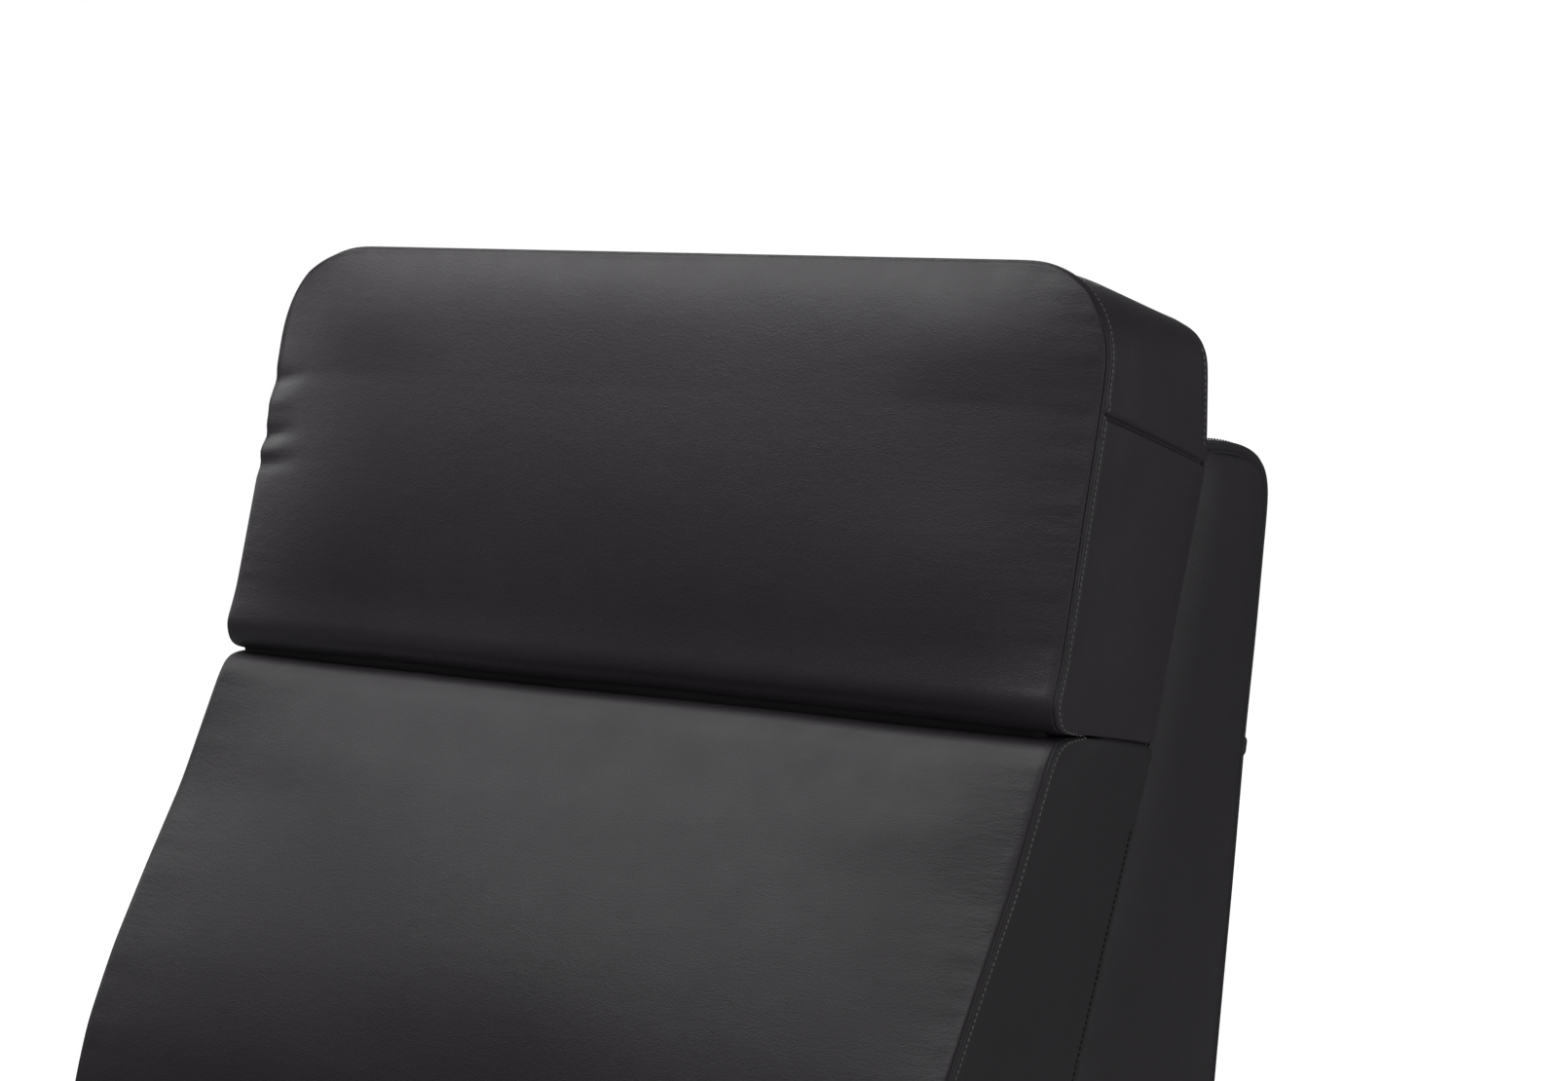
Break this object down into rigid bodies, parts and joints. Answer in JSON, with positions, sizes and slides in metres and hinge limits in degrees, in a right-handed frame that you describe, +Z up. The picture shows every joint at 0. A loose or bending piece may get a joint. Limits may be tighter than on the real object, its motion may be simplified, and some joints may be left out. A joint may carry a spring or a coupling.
{
  "type": "armless recliner",
  "caption": "Armless power recliner in black leather with a tall tilting headrest, crowned lumbar and seat cushions, a box base and a fold-out footrest on links.",
  "frame": {"origin": "on the floor, under the middle of the bounding box", "axes": "+Z up, +X towards the sitter's left, the chair faces -Y"},
  "size_m": [0.66, 0.964, 1.0381],
  "materials": {
    "leather": "smooth fine grain, semi-matt, charcoal black",
    "frame_steel": "satin black powder coat",
    "bright_steel": "ground",
    "spring_steel": "oil-tempered wire",
    "nylon": "natural nylon",
    "frame_wood": "sanded plywood",
    "black_plastic": "moulded, fine texture",
    "switch_plastic": "moulded, semi-gloss",
    "webbing": "woven elastic"
  },
  "bodies": {
    "base": {"side_panel_left": "leather", "side_panel_right": "leather", "front_base_rail": "frame_wood", "rear_base_panel": "leather", "base_rail_left": "frame_steel", "base_rail_right": "frame_steel", "glide_track_left": "frame_steel", "glide_track_right": "frame_steel", "front_cross_tube": "frame_steel", "rear_cross_tube": "frame_steel", "base_feet": "black_plastic", "power_inlet": "black_plastic", "control_panel": "black_plastic"},
    "footrest_rocker": {"footrest_rocker": "switch_plastic"},
    "recline_rocker": {"recline_rocker": "switch_plastic"},
    "headrest_rocker": {"headrest_rocker": "switch_plastic"},
    "carriage": {"carriage_plate_left": "frame_steel", "carriage_plate_right": "frame_steel", "glide_rollers": "nylon", "seat_side_rails": "frame_wood", "seat_front_rail": "frame_wood", "seat_rear_rail": "frame_wood", "seat_springs": "spring_steel", "seat_cushion": "leather", "motor_cross_tube": "frame_steel", "footrest_motor": "black_plastic", "recline_motor": "black_plastic"},
    "recline_rod": {"recline_rod": "bright_steel"},
    "footrest_slider": {"footrest_slider": "nylon"},
    "front_links": {"front_links": "frame_steel"},
    "rear_links": {"rear_link_left": "frame_steel", "rear_link_right": "frame_steel", "torque_tube": "frame_steel"},
    "couplers": {"coupler_left": "frame_steel", "coupler_right": "frame_steel"},
    "tilt_links": {"tilt_links": "frame_steel"},
    "footrest": {"footrest_brackets": "frame_steel", "footrest_board": "frame_wood", "footrest_cushion": "leather"},
    "back": {"back_post_left": "frame_wood", "back_post_right": "frame_wood", "back_top_rail": "frame_wood", "back_middle_rail": "frame_wood", "back_bottom_rail": "frame_wood", "back_wing_left": "leather", "back_wing_right": "leather", "outer_back_panel": "leather", "outer_back_flap": "leather", "back_bracket_left": "frame_steel", "back_bracket_right": "frame_steel", "recline_bar": "frame_steel", "back_webbing": "webbing", "lumbar_cushion": "leather", "headrest_motor": "black_plastic", "headrest_hinge_leaves": "frame_steel"},
    "headrest_rod": {"headrest_rod": "bright_steel"},
    "headrest": {"headrest_frame": "frame_wood", "headrest_hinge_arms": "frame_steel", "headrest_cushion": "leather"}
  },
  "joints": [
    {"name": "carriage_glide", "type": "slide", "parent": "base", "child": "carriage", "axis": [0, -0.9397, 0.342], "range_m": [0, 0.08001]},
    {"name": "back_recline", "type": "hinge", "parent": "carriage", "child": "back", "pos_m": [0, 0.16, 0.36], "axis": [-1, 0, 0], "range_deg": [0, 36]},
    {"name": "recline_rod_slide", "type": "slide", "parent": "carriage", "child": "recline_rod", "axis": [0, -1, 0], "range_m": [0, 0.09272]},
    {"name": "headrest_tilt", "type": "hinge", "parent": "back", "child": "headrest", "pos_m": [0, 0.245, 0.778], "axis": [1, 0, 0], "range_deg": [0, 25]},
    {"name": "headrest_rod_slide", "type": "slide", "parent": "back", "child": "headrest_rod", "axis": [0, 0.2164, 0.9763], "range_m": [0, 0.06061]},
    {"name": "footrest_lift", "type": "hinge", "parent": "carriage", "child": "rear_links", "pos_m": [0, -0.289, 0.2795], "axis": [-1, 0, 0], "range_deg": [0, 90]},
    {"name": "front_link_swing", "type": "hinge", "parent": "carriage", "child": "front_links", "pos_m": [0, -0.379, 0.2795], "axis": [-1, 0, 0], "range_deg": [0, 90]},
    {"name": "coupler_swing", "type": "hinge", "parent": "rear_links", "child": "couplers", "pos_m": [0, -0.21504, 0.1209], "axis": [1, 0, 0], "range_deg": [0, 90]},
    {"name": "tilt_link_swing", "type": "hinge", "parent": "rear_links", "child": "tilt_links", "pos_m": [0, -0.21504, 0.1659], "axis": [1, 0, 0], "range_deg": [0, 90]},
    {"name": "footrest_turn", "type": "hinge", "parent": "couplers", "child": "footrest", "pos_m": [0, -0.41504, 0.2719], "axis": [-1, 0, 0], "range_deg": [0, 90]},
    {"name": "footrest_slide", "type": "slide", "parent": "carriage", "child": "footrest_slider", "axis": [0, -1, 0], "range_m": [0, 0.07779]},
    {"name": "footrest_rocker_press", "type": "hinge", "parent": "base", "child": "footrest_rocker", "pos_m": [-0.3255, -0.224, 0.29], "axis": [0, 1, 0], "range_deg": [-8, 8], "stiffness_Nm_per_rad": 0.2},
    {"name": "recline_rocker_press", "type": "hinge", "parent": "base", "child": "recline_rocker", "pos_m": [-0.3255, -0.19, 0.29], "axis": [0, 1, 0], "range_deg": [-8, 8], "stiffness_Nm_per_rad": 0.2},
    {"name": "headrest_rocker_press", "type": "hinge", "parent": "base", "child": "headrest_rocker", "pos_m": [-0.3255, -0.156, 0.29], "axis": [0, 1, 0], "range_deg": [-8, 8], "stiffness_Nm_per_rad": 0.2}
  ],
  "couplings": [
    {"joint": "carriage_glide", "follows": "back_recline", "m_per_rad": 0.12732},
    {"joint": "recline_rod_slide", "follows": "back_recline", "m_per_rad": 0.14755},
    {"joint": "headrest_rod_slide", "follows": "headrest_tilt", "m_per_rad": 0.13889},
    {"joint": "front_link_swing", "follows": "footrest_lift", "ratio": 1},
    {"joint": "coupler_swing", "follows": "footrest_lift", "ratio": 1},
    {"joint": "tilt_link_swing", "follows": "footrest_lift", "ratio": 1},
    {"joint": "footrest_turn", "follows": "footrest_lift", "ratio": 1},
    {"joint": "footrest_slide", "follows": "footrest_lift", "m_per_rad": 0.049517}
  ]
}
